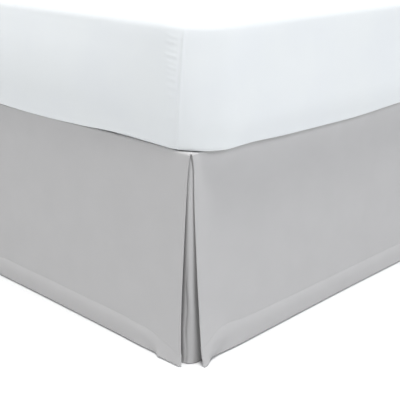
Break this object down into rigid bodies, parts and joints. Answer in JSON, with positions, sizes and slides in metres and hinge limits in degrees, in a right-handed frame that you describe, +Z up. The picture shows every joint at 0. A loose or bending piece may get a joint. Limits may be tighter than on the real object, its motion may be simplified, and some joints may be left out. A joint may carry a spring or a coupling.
{
  "type": "bed skirt on a bed base with its mattress",
  "caption": "Tailored cloth skirt with flat drops and folded corner pleats, hanging from a deck between a queen bed base and its mattress.",
  "frame": {"origin": "on the floor under the middle of the bed", "axes": "+Y along the bed's length, towards the head; +X across the bed; +Z up. The foot drop faces -Y"},
  "size_m": [1.5643, 2.0366, 0.5871],
  "materials": {
    "skirt_cloth": "plain light grey brushed microfibre cloth",
    "white_sheet": "plain white percale",
    "base_ticking": "off-white woven ticking",
    "leg_wood": "stained beech, satin"
  },
  "bodies": {
    "root": {"deck": "skirt_cloth", "drop_foot": "skirt_cloth", "drop_right": "skirt_cloth", "drop_left": "skirt_cloth", "insert_right": "skirt_cloth", "insert_left": "skirt_cloth", "mattress": "white_sheet", "bed_base": "base_ticking", "leg_1": "leg_wood", "leg_2": "leg_wood", "leg_3": "leg_wood", "leg_4": "leg_wood", "leg_5": "leg_wood", "leg_6": "leg_wood"}
  },
  "joints": []
}
